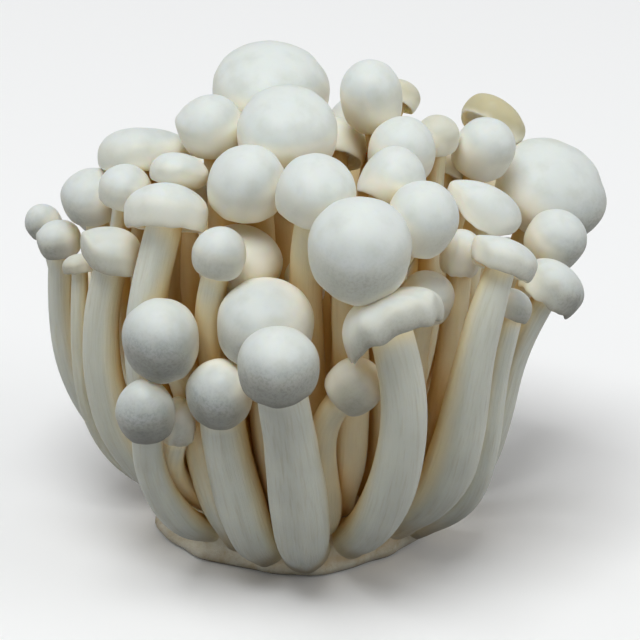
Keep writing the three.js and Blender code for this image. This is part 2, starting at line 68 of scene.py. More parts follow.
# The rings of points in each packed mushroom, from the apex of its cap to the middle of its foot,
# and the rings among them that are read here
PACKED_RINGS = [1, 12, 12, 12, 12, 24, 24, 8, 8, 8, 8, 8, 8, 1]
UPPER_RING = 1
WIDEST_RING = 3
MARGIN_RING = 4
NECK_RING = 7
FOOT_RING = 12

# The model's cap profile: the upper ring's share of the radius, the level of the neck in the cap's
# height, for an open and a tucked cap the margin's share and the level of the widest ring, and how
# far a hanging rim is drawn in
UPPER_SHARE = 0.44
NECK_LEVEL = 0.14
MARGIN_SHARES = [0.94, 0.72]
WIDEST_LEVELS = [0.4, 0.5]
DROOP_DRAW = 0.5

# Points round a stem and a cap, and the rings along a stem, over a dome, from its widest ring to the
# lip, and round the lip
STEM_SIDES = 48
STEM_RINGS = 26
CAP_SIDES = 96
DOME_RINGS = 18
MARGIN_RINGS = 7
LIP_RINGS = 5

# The cap's section, in shares of its radius and levels of its height: how full the dome is, how far
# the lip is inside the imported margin, how wide it is, and the levels of its lowest and inner ring
DOME_FULLNESS = [1.88, 2.2]
LIP_INSIDE = 0.05
LIP_WIDTH = 0.08
LIP_LEVEL = 0.015
LIP_INNER_LEVEL = 0.085

# A soft field is a sum of waves: how many, where no other count is given, and the shortest that they
# may be beside the longest
FIELD_WAVES = 10
SHORTEST_WAVE = 0.45

# The cap's soft dents and the stem's soft lumps: the longest wave, in cap radii and in millimetres,
# and the depth as a share of the cap's and the stem's own radius
DENT_LENGTH = 2.4
DENT_DEPTH = 0.05
LUMP_LENGTH = 22
LUMP_DEPTH = 0.05

# The gills: how many per millimetre of the cap's width and in all, the points of each, the rings from
# neck to lip, the depth as a share of the cap's height, and the levels of the gills' edges at both
# ends, with the rise between
GILLS_PER_MM = 2.7
GILL_COUNTS = [32, 68]
GILL_POINTS = 4
GILL_RINGS = 8
GILL_DEPTH = 0.17
GILL_EDGE_LEVELS = [0.16, 0.1]
GILL_ARCH = 0.05

# Where the gills run: their gap to the lip, their start in neck radii with a gap, and the furthest
# out that they start, as a share of their outer end
GILL_LIP_GAP = 0.01
GILL_START = 1.12
GILL_START_GAP = 0.02
GILL_START_LIMIT = 0.88

# How a gill's depth changes from neck to lip: the part of a half wave that it follows, the share of
# it that is lost at the lip and how late, and where a short gill has its full depth and where none
GILL_HALF_WAVE = [0.12, 0.92]
GILL_LIP_LOSS = 0.6
GILL_LOSS_POWER = 6
SHORT_GILL_RUN = [0.55, 0.3]

# The share of the gills' colour on the lip's inner side, the share of the margin's colour at the
# widest ring, and how far out on the dome that colour starts
LIP_GILL = 0.6
WIDEST_MARGIN = 0.5
MARGIN_START = 0.85

# The rim seen from above: its lobes and their depth as a share of the radius
FEWEST_LOBES = 4
MOST_LOBES = 7
LOBE_DEPTH = 0.01

# The rim's waves up and down: how many more than lobes there are long and short ones, how high the
# short ones are beside the long, the height beside the width of a high cap and of a flat one, how
# far the rim of each waves as a share of the cap's height, and the caps that wave more
LONG_WAVES_MORE = 1
SHORT_WAVES_MORE = 6
SHORT_WAVE_SHARE = 0.7
HIGH_AND_FLAT = [0.7, 0.4]
FRILLS = [0.012, 0.03]
WAVY = {"mushroom_front_6": 0.06, "mushroom_right_4": 0.05, "mushroom_right_6": 0.04}

# Rims that curl: the ways they face in degrees from the right, how far they rise as a share of the
# cap's height, and how far to each side of that way they fade, in degrees
CURLS = {
    "mushroom_left_1": [(215, -0.12, 40)], "mushroom_left_5": [(190, 0.16, 16)],
    "mushroom_left_7": [(200, 0.3, 30)], "mushroom_left_8": [(190, -0.12, 30)],
    "mushroom_middle_8": [(185, -0.2, 30)], "mushroom_right_2": [(200, 0.2, 35), (290, -0.3, 45)],
    "mushroom_right_5": [(185, 0.25, 28)], "mushroom_crown_3": [(190, 0.15, 40)],
}

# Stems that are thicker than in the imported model, where a gap would show the floor behind the bunch
THICKER = {
    "mushroom_rear_high_1": 1.35, "mushroom_rear_high_2": 1.2, "mushroom_rear_low_1": 1.2,
    "mushroom_rear_low_2": 1.2, "mushroom_crown_6": 1.1,
}

# The stems: how far each runs on into the base, how its foot flares, and its flutes
STEM_ROOT = 3.0
FOOT_FLARE = 0.22
FLARE_REACH = 3.5
FLUTES = [3, 5, 8]
FLUTE_DEPTHS = [0.022, 0.014, 0.008]

# The mushrooms that are creamier than the rest
CREAMY = {
    "mushroom_crown_5": 0.5, "mushroom_crown_7": 0.4, "mushroom_crown_9": 0.95,
    "mushroom_left_6": 0.3, "mushroom_left_7": 0.1,
    "mushroom_front_7": 0.35,
}


def unit(vector):
    return vector / np.linalg.norm(vector)


def blend(low, high, share):
    return low + (high - low) * share


def smoothstep(low, high, value):
    share = np.clip((value - low) / (high - low), 0, 1)
    return share * share * (3 - 2 * share)


def softened(values):
    """Values round a turn, each mixed with its neighbours."""
    return (np.roll(values, 1, 0) + 2 * values + np.roll(values, -1, 0)) / 4


def turns(count):
    """Evenly spaced angles round a full turn."""
    return np.arange(count) / count * 2 * np.pi


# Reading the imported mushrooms

def welded(node):
    """The node's points in millimetres, with copies merged, and the neighbours of each."""
    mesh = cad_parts[node].data
    flat = np.empty(len(mesh.vertices) * 3, np.float32)
    mesh.vertices.foreach_get("co", flat)
    points, index = np.unique(flat.reshape(-1, 3), axis=0, return_inverse=True)
    index = index.ravel()
    near = [set() for _ in points]
    for edge in mesh.edges:
        first, second = (index[i] for i in edge.vertices)
        if first != second:
            near[first].add(second)
            near[second].add(first)
    return points.astype(float) / MM, near


def packed_rings(node):
    """The node's rings of points, from the apex, which has the most neighbours, to the foot."""
    points, near = welded(node)
    rings = [[max(range(len(points)), key=lambda i: len(near[i]))]]
    seen = set(rings[0])
    while True:
        ring = {j for i in rings[-1] for j in near[i]} - seen
        if not ring:
            break
        seen |= ring
        rings.append(sorted(ring))
    if [len(ring) for ring in rings] != PACKED_RINGS:
        raise ValueError(f"{node} has rings of {[len(ring) for ring in rings]} points")
    return [points[ring] for ring in rings]


def round_curve(values):
    """A smooth curve round a turn, through values that are evenly spaced on it."""
    parts = np.fft.rfft(values) / len(values)

    def at(turn):
        waves = range(1, len(parts) - 1)
        return parts[0].real + sum(2 * np.real(parts[k] * np.exp(1j * k * turn)) for k in waves)

    return at


def smooth_path(stations):
    """A natural cubic spline through stations that are evenly spaced along it, for shares 0 to 1."""
    last = len(stations) - 1
    matrix = np.eye(last + 1)
    right = np.zeros_like(stations)
    for i in range(1, last):
        matrix[i, i - 1:i + 2] = [1, 4, 1]
        right[i] = 6 * (stations[i - 1] - 2 * stations[i] + stations[i + 1])
    bend = np.linalg.solve(matrix, right)

    def at(share):
        place = np.clip(share, 0, 1) * last
        start = np.minimum(place.astype(int), last - 1)
        b = (place - start)[:, None]
        a = 1 - b
        curve = a * stations[start] + b * stations[start + 1]
        return curve + ((a ** 3 - a) * bend[start] + (b ** 3 - b) * bend[start + 1]) / 6

    return at


def ring_radius(ring, middle, axis):
    """The mean distance of a ring's points from an axis through a middle."""
    out = ring - middle
    return np.linalg.norm(out - np.outer(out @ axis, axis), axis=1).mean()


def measured_cap(rings):
    """A packed cap's axes, size, profile and outline."""
    apex = rings[0][0]
    neck = rings[NECK_RING].mean(0)
    axis = unit(apex - neck)
    height = np.linalg.norm(apex - neck) / (1 - NECK_LEVEL)
    middle = apex - axis * height / 2
    side = unit(np.array([1, 0, 0]) - axis * axis[0])
    back = np.cross(axis, side)
    full_radius = ring_radius(rings[UPPER_RING], middle, axis) / UPPER_SHARE
    hanging = (1 - ring_radius(rings[WIDEST_RING], middle, axis) / full_radius) / DROOP_DRAW
    margin = ring_radius(rings[MARGIN_RING], middle, axis) / full_radius
    margin /= 1 - DROOP_DRAW * hanging * margin ** 3
    tuck = np.clip((MARGIN_SHARES[0] - margin) / (MARGIN_SHARES[0] - MARGIN_SHARES[1]), 0, 1)
    level = blend(*WIDEST_LEVELS, tuck)
    widest = rings[WIDEST_RING] - middle
    across, beyond = widest @ side, widest @ back
    turn = np.arctan2(beyond, across)
    order = np.argsort(np.round(turn / (2 * np.pi) * len(turn)) % len(turn))
    reach = np.hypot(across, beyond)[order]
    radius = reach.mean()
    sunken = (height * (level - 0.5) - widest @ axis)[order]
    return {
        "axis": axis, "side": side, "back": back, "middle": middle, "height": height,
        "radius": radius, "reach": round_curve(reach / radius - 1),
        "sunken": round_curve(softened(sunken)), "widest": level, "lip": margin - LIP_INSIDE,
    }


def measured_stem(rings):
    """A packed stem's path from the middle of its foot to the neck, and its radii."""
    stem = rings[NECK_RING:FOOT_RING + 1][::-1]
    path = np.array([ring.mean(0) for ring in stem])
    path[0] = rings[-1][0]
    thickness = np.array([np.linalg.norm(ring - ring.mean(0), axis=1).mean() for ring in stem])
    thickness[0] = ring_radius(stem[0], path[0], unit(path[1] - path[0]))
    return {"path": path, "thickness": thickness}


def soft_field(random, longest, count=FIELD_WAVES):
    """A soft random field over space: a sum of waves in random directions, within -1 and 1."""
    ways = random.normal(size=(count, 3))
    ways /= np.linalg.norm(ways, axis=1)[:, None]
    lengths = longest * random.uniform(SHORTEST_WAVE, 1, count)
    phases = random.uniform(0, 2 * np.pi, count)
    waves = (2 * np.pi / lengths)[:, None] * ways
    weights = lengths / lengths.sum()
    return lambda points: np.sin(points @ waves.T + phases) @ weights


# Growing a finer mushroom from rings of points

def ring_of(points, grain, gill=0, stem=0, margin=0):
    """A ring with what the materials read at each point: its grain, which is a place in millimetres
    that follows a stem or a tilted cap, and its coat, which is how far it is gill, stem, margin and
    creamy, each from 0 to 1. Creamy stays 0 here."""
    coat = np.zeros((len(points), 4))
    coat[:, 0] = gill
    coat[:, 1] = stem
    coat[:, 2] = margin
    return {"points": points, "grain": grain, "coat": coat}


def cap_points(shape, turn, share, level):
    """Points at a share of the cap's radius and a level of its height, and their local places."""
    marginal = share ** 3
    out = shape["radius"] * share * (1 + marginal * (shape["reach"](turn) + shape["lobes"](turn)))
    raised = shape["height"] * (level - 0.5) - marginal * shape["sunken"](turn)
    raised = raised + marginal ** 2 * shape["height"] * shape["waves"](turn)
    local = np.stack([out * np.cos(turn), out * np.sin(turn), raised], 1)
    local *= (1 + DENT_DEPTH * shape["dents"](local))[:, None]
    axes = np.stack([shape["side"], shape["back"], shape["axis"]])
    return shape["middle"] + local @ axes, local


def dome_rings(shape):
    """The cap's skin, from its widest ring up to the apex."""
    turn = turns(CAP_SIDES)
    power = 2 / shape["fullness"]
    rings = []
    for climb in np.linspace(0, np.pi / 2, DOME_RINGS, endpoint=False):
        share = np.cos(climb) ** power
        level = blend(shape["widest"], 1, np.sin(climb) ** power)
        margin = WIDEST_MARGIN * smoothstep(MARGIN_START, 1, share)
        rings.append(ring_of(*cap_points(shape, turn, share, level), margin=margin))
    rings.append(ring_of(*cap_points(shape, turn[:1], 0.0, 1.0)))
    return rings


def margin_rings(shape):
    """The cap's rolled margin, from the inner side of its lip out to just under the widest ring."""
    turn = turns(CAP_SIDES)
    rings = []
    for roll in np.linspace(0, np.pi / 2, LIP_RINGS, endpoint=False):
        share = shape["lip"] - LIP_WIDTH * np.cos(roll)
        level = blend(LIP_LEVEL, LIP_INNER_LEVEL, 1 - np.sin(roll))
        gill = LIP_GILL * np.cos(roll)
        rings.append(ring_of(*cap_points(shape, turn, share, level), gill=gill, margin=1))
    for climb in np.linspace(0, np.pi / 2, MARGIN_RINGS, endpoint=False):
        share = blend(shape["lip"], 1, np.sin(climb))
        level = blend(shape["widest"], LIP_LEVEL, np.cos(climb))
        margin = blend(1, WIDEST_MARGIN, np.sin(climb) ** 2)
        rings.append(ring_of(*cap_points(shape, turn, share, level), margin=margin))
    return rings


def gill_rings(shape):
    """The gills, from the neck out to the lip. Every second gill is short and ends before the neck."""
    count = 2 * round(np.clip(GILLS_PER_MM * 2 * shape["radius"], *GILL_COUNTS) / 2)
    turn = turns(count * GILL_POINTS)
    number, corner = np.divmod(np.arange(len(turn)), GILL_POINTS)
    valley = corner >= GILL_POINTS // 2
    short = number % 2 == 1
    outer = shape["lip"] - LIP_WIDTH - GILL_LIP_GAP
    neck = GILL_START * shape["thickness"][-1] / shape["radius"]
    inner = min(neck + GILL_START_GAP, GILL_START_LIMIT * outer)
    rings = []
    for run in np.linspace(0, 1, GILL_RINGS):
        share = blend(inner, outer, run)
        edge = blend(*GILL_EDGE_LEVELS, run) + GILL_ARCH * np.sin(np.pi * run)
        depth = GILL_DEPTH * np.sin(np.pi * blend(*GILL_HALF_WAVE, run))
        depth *= 1 - GILL_LIP_LOSS * run ** GILL_LOSS_POWER
        filled = smoothstep(*SHORT_GILL_RUN, run)
        level = edge + depth * np.where(valley, 1, np.where(short, filled, 0))
        rings.append(ring_of(*cap_points(shape, turn, share, level), gill=1))
    return rings


def stem_rings(shape):
    """The stem, from inside the base up to its neck, with flutes along it and a flared foot."""
    turn = turns(STEM_SIDES)
    stations = np.linspace(0, 1, STEM_RINGS)
    centres = smooth_path(shape["path"])(stations)
    radii = smooth_path(shape["thickness"][:, None])(stations)[:, 0]
    length = np.linalg.norm(np.diff(centres, axis=0), axis=1).sum()
    runs = np.gradient(centres, axis=0)
    runs[-1] = shape["axis"]
    first = unit(runs[0])
    centres = np.vstack([centres[0] - first * STEM_ROOT, centres])
    radii = np.append(radii[0], radii)
    runs = np.vstack([first, runs])
    along = np.append(-STEM_ROOT, stations * length)
    rings = []
    for centre, radius, run, way in zip(centres, radii, runs, along):
        run = unit(run)
        across = unit(shape["side"] - run * (run @ shape["side"]))
        over = np.cross(run, across)
        flare = 1 + FOOT_FLARE * np.exp(-max(0, way) / FLARE_REACH)
        fluted = 1 + sum(
            depth * np.sin(waves * turn + phase + twist * way / length)
            for waves, depth, phase, twist in shape["flutes"])
        out = radius * flare * fluted
        offset = np.outer(np.cos(turn) * out, across) + np.outer(np.sin(turn) * out, over)
        points = centre + offset
        points += offset * (LUMP_DEPTH * shape["lumps"](points))[:, None]
        grain = np.stack([radius * np.cos(turn), radius * np.sin(turn), np.full(STEM_SIDES, way)], 1)
        rings.append(ring_of(points, grain, stem=1))
    return rings


def foot_ring(rings):
    """The single point that closes the foot."""
    first = rings[0]
    return ring_of(first["points"].mean(0)[None], first["grain"].mean(0)[None], stem=1)


def lofted(rings):
    """The faces between rings, which may differ in their counts, down to a single point at an end."""
    faces = []
    start = 0
    for low, high in zip(rings, rings[1:]):
        below, above = len(low["points"]), len(high["points"])
        top = start + below
        if below == above:
            for k in range(below):
                after = (k + 1) % below
                faces.append((start + k, start + after, top + after, top + k))
        else:
            i = j = 0
            while i < (below if below > 1 else 0) or j < (above if above > 1 else 0):
                on_low = above == 1 or (below > 1 and (i + 1) / below <= (j + 1) / above)
                here, there = start + i % below, top + j % above
                if on_low:
                    i += 1
                    faces.append((here, start + i % below, there))
                else:
                    j += 1
                    faces.append((here, top + j % above, there))
        start = top
    return faces


def mesh_piece(name, rings, material):
    """One mesh object from rings, in metres, with its coat and grain as attributes."""
    points = np.vstack([ring["points"] for ring in rings])
    mesh = bpy.data.meshes.new(name)
    mesh.from_pydata((points * MM).tolist(), [], lofted(rings))
    coat = mesh.attributes.new("coat", "FLOAT_COLOR", "POINT")
    coat.data.foreach_set("color", np.vstack([ring["coat"] for ring in rings]).ravel())
    grain = mesh.attributes.new("grain", "FLOAT_VECTOR", "POINT")
    grain.data.foreach_set("vector", np.vstack([ring["grain"] for ring in rings]).ravel())
    mesh.polygons.foreach_set("use_smooth", [True] * len(mesh.polygons))
    mesh.materials.append(material)
    mesh.update()
    piece = bpy.data.objects.new(name, mesh)
    bpy.context.scene.collection.objects.link(piece)
    return piece


def curled(turn, way, rise, spread):
    """A rise of the rim at one way that fades over a spread to each side, both in degrees."""
    beside = 1 - np.cos(turn - np.radians(way))
    return rise * np.exp(-beside / (1 - np.cos(np.radians(spread))))


def grown(node, shape, random):
    """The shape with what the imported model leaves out: dents, lumps, flutes, and the rim's lobes,
    waves and curls."""
    fullness = random.uniform(*DOME_FULLNESS)
    dents = soft_field(random, DENT_LENGTH * shape["radius"])
    lumps = soft_field(random, LUMP_LENGTH)
    phases = random.uniform(0, 2 * np.pi, len(FLUTES))
    twists = random.uniform(-1, 1, len(FLUTES))
    count = random.integers(FEWEST_LOBES, MOST_LOBES + 1)
    lobe_phase, wave_phase = random.uniform(0, 2 * np.pi, 2)
    flat = smoothstep(*HIGH_AND_FLAT, shape["height"] / (2 * shape["radius"]))
    frill = WAVY.get(node, blend(*FRILLS, flat))

    def lobes(turn):
        return LOBE_DEPTH * np.sin(count * turn + lobe_phase)

    def waves(turn):
        long_ones = np.sin((count + LONG_WAVES_MORE) * turn + wave_phase)
        short_ones = np.sin((count + SHORT_WAVES_MORE) * turn - lobe_phase)
        curls = sum(curled(turn, *curl) for curl in CURLS.get(node, []))
        return frill * (long_ones + SHORT_WAVE_SHARE * short_ones) + curls

    return {
        **shape, "fullness": fullness, "dents": dents, "lumps": lumps, "lobes": lobes,
        "waves": waves, "flutes": list(zip(FLUTES, FLUTE_DEPTHS, phases, twists)),
        "thickness": shape["thickness"] * THICKER.get(node, 1),
    }


def mushroom(node, shape, material):
    """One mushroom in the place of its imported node, and its rings."""
    rings = stem_rings(shape)
    rings = [foot_ring(rings)] + rings + gill_rings(shape) + margin_rings(shape) + dome_rings(shape)
    for ring in rings:
        ring["coat"][:, 3] = CREAMY.get(node, 0)
    piece = mesh_piece(node.replace("mushroom_", "grown_"), rings, material)
    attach(piece, "root")
    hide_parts(node)
    return piece, rings


# The joined base

# The seed of its random draws, the mound's reach sideways, forwards and up, the points round it, its
# rings, the rings of the flat cut face and the share of the reach where that face ends, and the
# angle over the cut face at which the mound's first ring is
BASE_SEED = 5
BASE_REACH = np.array([37, 33, 27])
BASE_SIDES = 200
BASE_RINGS = 46
CUT_RINGS = 14
CUT_SHARE = 0.95
FIRST_CLIMB = 0.04

# Its lumps and knots: the longest wave, the count of waves and how far they rise, and the angles
# between which the rise grows to its full height
BASE_LUMPS = [16, 16]
BASE_KNOTS = [5, 24]
BASE_LUMP_HEIGHT = 0.9
BASE_KNOT_HEIGHT = 0.35
RISING = [-0.02, 0.15]

# Its swelling round each stem: how high from the dips between the stems, how far out in radii of the
# foot, how steep its edge is, and the share of the height that the dips lie under the mound
SWELL_HEIGHT = 2.8
SWELL_REACH = 1.7
SWELL_POWER = 4
SWELL_DIP = 0.75

# Its wavy rim: the counts of waves, the depth of a single wave, and how fast they fade upwards
RIM_WAVES = [2, 3, 5, 8, 13, 21]
RIM_DEPTH = 0.1
RIM_FADE = 0.35


def joined_base(feet, material):
    """The base, which is a mound of grown-together stem feet with a flat cut face, and its rings."""
    random = np.random.default_rng(BASE_SEED)
    lumps = soft_field(random, *BASE_LUMPS)
    knots = soft_field(random, *BASE_KNOTS)
    phases = random.uniform(0, 2 * np.pi, len(RIM_WAVES))
    turn = turns(BASE_SIDES)
    rim = sum(RIM_DEPTH / waves * np.sin(waves * turn + phase)
              for waves, phase in zip(RIM_WAVES, phases))
    rings = []
    for share in np.linspace(0, CUT_SHARE, CUT_RINGS):
        flat = np.stack([np.cos(turn), np.sin(turn), 0 * turn], 1) * (1 + rim * share ** 2)[:, None]
        points = flat * share * BASE_REACH
        if share == 0:
            points = points[:1]
        rings.append(ring_of(points, points))
    for climb in np.linspace(FIRST_CLIMB, np.pi / 2, BASE_RINGS):
        way = np.stack([np.cos(turn) * np.cos(climb), np.sin(turn) * np.cos(climb),
                        np.full(BASE_SIDES, np.sin(climb))], 1)
        points = way * BASE_REACH
        points[:, :2] *= (1 + rim * np.exp(-climb / RIM_FADE))[:, None]
        swell = np.zeros(BASE_SIDES)
        for place, radius in feet:
            near = np.linalg.norm(points - place, axis=1) / (SWELL_REACH * radius)
            swell = np.maximum(swell, np.exp(-near ** SWELL_POWER))
        raised = BASE_LUMP_HEIGHT * lumps(points) + BASE_KNOT_HEIGHT * knots(points)
        raised += SWELL_HEIGHT * (swell - SWELL_DIP)
        raised *= smoothstep(*RISING, climb)
        points = points + way * raised[:, None]
        if climb == np.pi / 2:
            points = points[:1]
        rings.append(ring_of(points, points))
    piece = mesh_piece("grown_base", rings, material)
    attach(piece, "root")
    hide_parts("joined_base")
    return piece, rings


# How much of the sky, the floor and the crowd each point faces, for the painted shade

# The rays from each point, how far off the surface they start and how far they reach, the most points
# of a ring that send them, and how bright the floor and the neighbours are beside the sky
RAYS = 24
RAY_START = 0.5
RAY_REACH = 400
RAY_POINTS = 12
FLOOR_LIGHT = 0.8
CROWD_LIGHT = 0.5

# The share of the floor's light that the painted shade keeps low and high in the bunch, with those
# heights
FLOOR_KEPT = [0.05, 0.5]
KEPT_HEIGHTS = [64, 114]


def cosine_ways(count):
    """Ways round +Z, spread so that each brings the same share of light."""
    number = np.arange(count) + 0.5
    out = np.sqrt(number / count)
    turn = number * np.pi * (3 - np.sqrt(5))
    return np.stack([out * np.cos(turn), out * np.sin(turn), np.sqrt(1 - out ** 2)], 1)


def packed_tree():
    """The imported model's faces, in millimetres, to cast rays at."""
    points, faces = [], []
    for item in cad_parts.values():
        start = len(points)
        points += [vertex.co / MM for vertex in item.data.vertices]
        faces += [[start + i for i in face.vertices] for face in item.data.polygons]
    return BVHTree.FromPolygons(points, faces)


def facing(tree, places, normals, random):
    """The shares of each place's rays that reach the sky and the floor."""
    side = np.cross(normals, random.normal(size=normals.shape))
    side /= np.linalg.norm(side, axis=1)[:, None]
    over = np.cross(normals, side)
    ways = np.einsum("rk,kpc->prc", cosine_ways(RAYS), np.stack([side, over, normals]))
    starts = places + normals * RAY_START
    shares = np.zeros((len(places), 2))
    for number, (start, rays) in enumerate(zip(starts.tolist(), ways.tolist())):
        for way in rays:
            if tree.ray_cast(start, way, RAY_REACH)[0] is None:
                shares[number, 0 if way[2] > 0 else 1] += 1 / RAYS
    return shares


def facing_rings(tree, places, normals, sizes, random):
    """The shares of sky and floor at every point, from rays at some points of each ring."""
    starts = np.cumsum([0] + sizes[:-1])
    counts = [min(size, RAY_POINTS) for size in sizes]
    picks = np.concatenate([start + np.arange(count) * size // count
                            for start, size, count in zip(starts, sizes, counts)])
    shares = facing(tree, places[picks], normals[picks], random)
    rings = [softened(ring) for ring in np.split(shares, np.cumsum(counts)[:-1])]
    kept = []
    for i, (ring, size, count) in enumerate(zip(rings, sizes, counts)):
        beside = [rings[j] for j in (i - 1, i + 1) if 0 <= j < len(rings) and counts[j] == count]
        ring = (2 * ring + sum(beside)) / (2 + len(beside))
        turn = np.arange(size) / size
        known = np.arange(count) / count
        kept.append(np.stack([np.interp(turn, known, ring[:, c], period=1) for c in (0, 1)], 1))
    return np.vstack(kept).T


def shade(tree, piece, sizes, random):
    """Stores the painted shade, which is how far each point's colour darkens for what it faces, with
    most of the floor's light taken away, how deep in the crowd it is, and a zero, because the
    attribute holds three values."""
    mesh = piece.data
    places = np.empty(len(mesh.vertices) * 3)
    normals = np.empty(len(mesh.vertices) * 3)
    mesh.vertices.foreach_get("co", places)
    mesh.vertex_normals.foreach_get("vector", normals)
    places = places.reshape(-1, 3) / MM
    normals = normals.reshape(-1, 3)
    sky, floor = facing_rings(tree, places, normals, sizes, random)
    deep = np.clip(1 - sky - floor, 0, 1)
    # Painted shade: the light a point keeps, mostly without the floor's light, against all the light
    # it faces
    lit = sky + FLOOR_LIGHT * floor + CROWD_LIGHT * deep
    kept_floor = blend(*FLOOR_KEPT, smoothstep(*KEPT_HEIGHTS, places[:, 2])) * floor
    painted_darkening = (sky + kept_floor + CROWD_LIGHT * deep) / lit
    field = mesh.attributes.new("shade", "FLOAT_VECTOR", "POINT")
    field.data.foreach_set("vector", np.stack([painted_darkening, deep, 0 * deep], 1).ravel())


# Materials

CAP_COLOUR = (0.7, 0.74, 0.715, 1)
CAP_MOTTLE = (0.63, 0.665, 0.625, 1)
CREAM_COLOUR = (0.54, 0.49, 0.3, 1)
# Grey blotches: real mottling, but painted only on the caps' shaded side, so partly painted shade
BLOTCH_AND_SHADE_COLOUR = (0.36, 0.39, 0.37, 1)
MARGIN_COLOUR = (0.72, 0.67, 0.48, 1)
STEM_COLOUR = (0.68, 0.7, 0.62, 1)
STREAK_COLOUR = (0.55, 0.53, 0.42, 1)
FOOT_COLOUR = (0.68, 0.57, 0.37, 1)
GILL_COLOUR = (0.62, 0.5, 0.28, 1)
# Deep in the crowd: caps painted lighter and creamier, painted light for what their neighbours bounce,
# and stems warm brown, partly their own tan and partly painted shade
DEEP_CAP_PAINTED_LIGHT_COLOUR = (0.96, 0.94, 0.83, 1)
DEEP_TAN_AND_SHADE_COLOUR = (0.8, 0.71, 0.47, 1)
CREVICE_CAP_PAINTED_LIGHT_COLOUR = (0.94, 0.84, 0.6, 1)
CREVICE_TAN_AND_SHADE_COLOUR = (0.7, 0.43, 0.12, 1)
BASE_COLOUR = (0.8, 0.76, 0.62, 1)
BASE_STAIN = (0.6, 0.48, 0.29, 1)
BASE_FUZZ = (0.86, 0.84, 0.76, 1)
# Browner deep between the feet: partly the tissue's own tone, partly painted shade
BASE_DEEP_SHADE_COLOUR = (0.55, 0.4, 0.22, 1)

# Where on a stem, in millimetres from its foot, the foot's colour ends and where it is full, and how
# ragged that is, and the shares at most of the blotches' colour, which is partly painted shade, and
# of the margin's colour
FOOT_FADE = [18, 3]
FOOT_RAGGED = 8
BLOTCH_AND_SHADE_SHARE = 0.55
MARGIN_SHARE = 0.55

# The power of the painted shade that shade stores, which is steeper on caps than on stems
CAP_DARKENING_POWER = 1.75
STEM_DARKENING_POWER = 1

# How the streaks' noise is scaled round and along a stem
STREAK_SCALE = (1.6, 1.6, 0.09)


class Shader:
    """A small helper that adds nodes to one material and joins them."""

    def __init__(self, name):
        self.material = bpy.data.materials.new(name)
        self.material.use_nodes = True
        self.tree = self.material.node_tree
        self.surface = self.tree.nodes["Principled BSDF"]

    def add(self, kind, **settings):
        node = self.tree.nodes.new(kind)
        for key, value in settings.items():
            setattr(node, key, value)
        return node

    def feed(self, target, value):
        if isinstance(value, bpy.types.NodeSocket):
            self.tree.links.new(value, target)
        else:
            target.default_value = value

    def attribute(self, name, output):
        return self.add("ShaderNodeAttribute", attribute_name=name).outputs[output]

    def split(self, colour):
        node = self.add("ShaderNodeSeparateColor")
        self.feed(node.inputs[0], colour)
        return node.outputs

    def math(self, operation, first, second):
        node = self.add("ShaderNodeMath", operation=operation)
        self.feed(node.inputs[0], first)
        self.feed(node.inputs[1], second)
        return node.outputs[0]

    def mix(self, share, first, second, kind="MIX"):
        node = self.add("ShaderNodeMix", data_type="RGBA", blend_type=kind)
        self.feed(node.inputs[0], share)
        self.feed(node.inputs[6], first)
        self.feed(node.inputs[7], second)
        return node.outputs[2]

    def scaled(self, vector, scale):
        node = self.add("ShaderNodeVectorMath", operation="MULTIPLY")
        self.feed(node.inputs[0], vector)
        self.feed(node.inputs[1], scale)
        return node.outputs[0]

    def noise(self, vector, scale, detail, roughness):
        node = self.add("ShaderNodeTexNoise")
        self.feed(node.inputs["Vector"], vector)
        self.feed(node.inputs["Scale"], scale)
        self.feed(node.inputs["Detail"], detail)
        self.feed(node.inputs["Roughness"], roughness)
        return node.outputs["Fac"]

    def ramp(self, value, low, high):
        node = self.add("ShaderNodeMapRange", interpolation_type="SMOOTHSTEP")
        self.feed(node.inputs["Value"], value)
        self.feed(node.inputs["From Min"], low)
        self.feed(node.inputs["From Max"], high)
        return node.outputs["Result"]

    def patchy(self, colour, other, value, low, high, share=1):
        """A colour that turns into a share of another where a value goes from low to high."""
        amount = self.ramp(value, low, high)
        if share != 1:
            amount = self.math("MULTIPLY", amount, share)
        return self.mix(amount, colour, other)

    def bump(self, height, strength, distance, normal=None):
        node = self.add("ShaderNodeBump")
        self.feed(node.inputs["Height"], height)
        self.feed(node.inputs["Strength"], strength)
        self.feed(node.inputs["Distance"], distance)
        if normal is not None:
            self.feed(node.inputs["Normal"], normal)
        return node.outputs["Normal"]

    def finish(self, colour, normal, **values):
        """Sets the surface's colour and normal, and its other inputs by name with _ for a space."""
        self.feed(self.surface.inputs["Base Color"], colour)
        self.feed(self.surface.inputs["Normal"], normal)
        for name, value in values.items():
            self.feed(self.surface.inputs[name.replace("_", " ")], value)
        return self.material


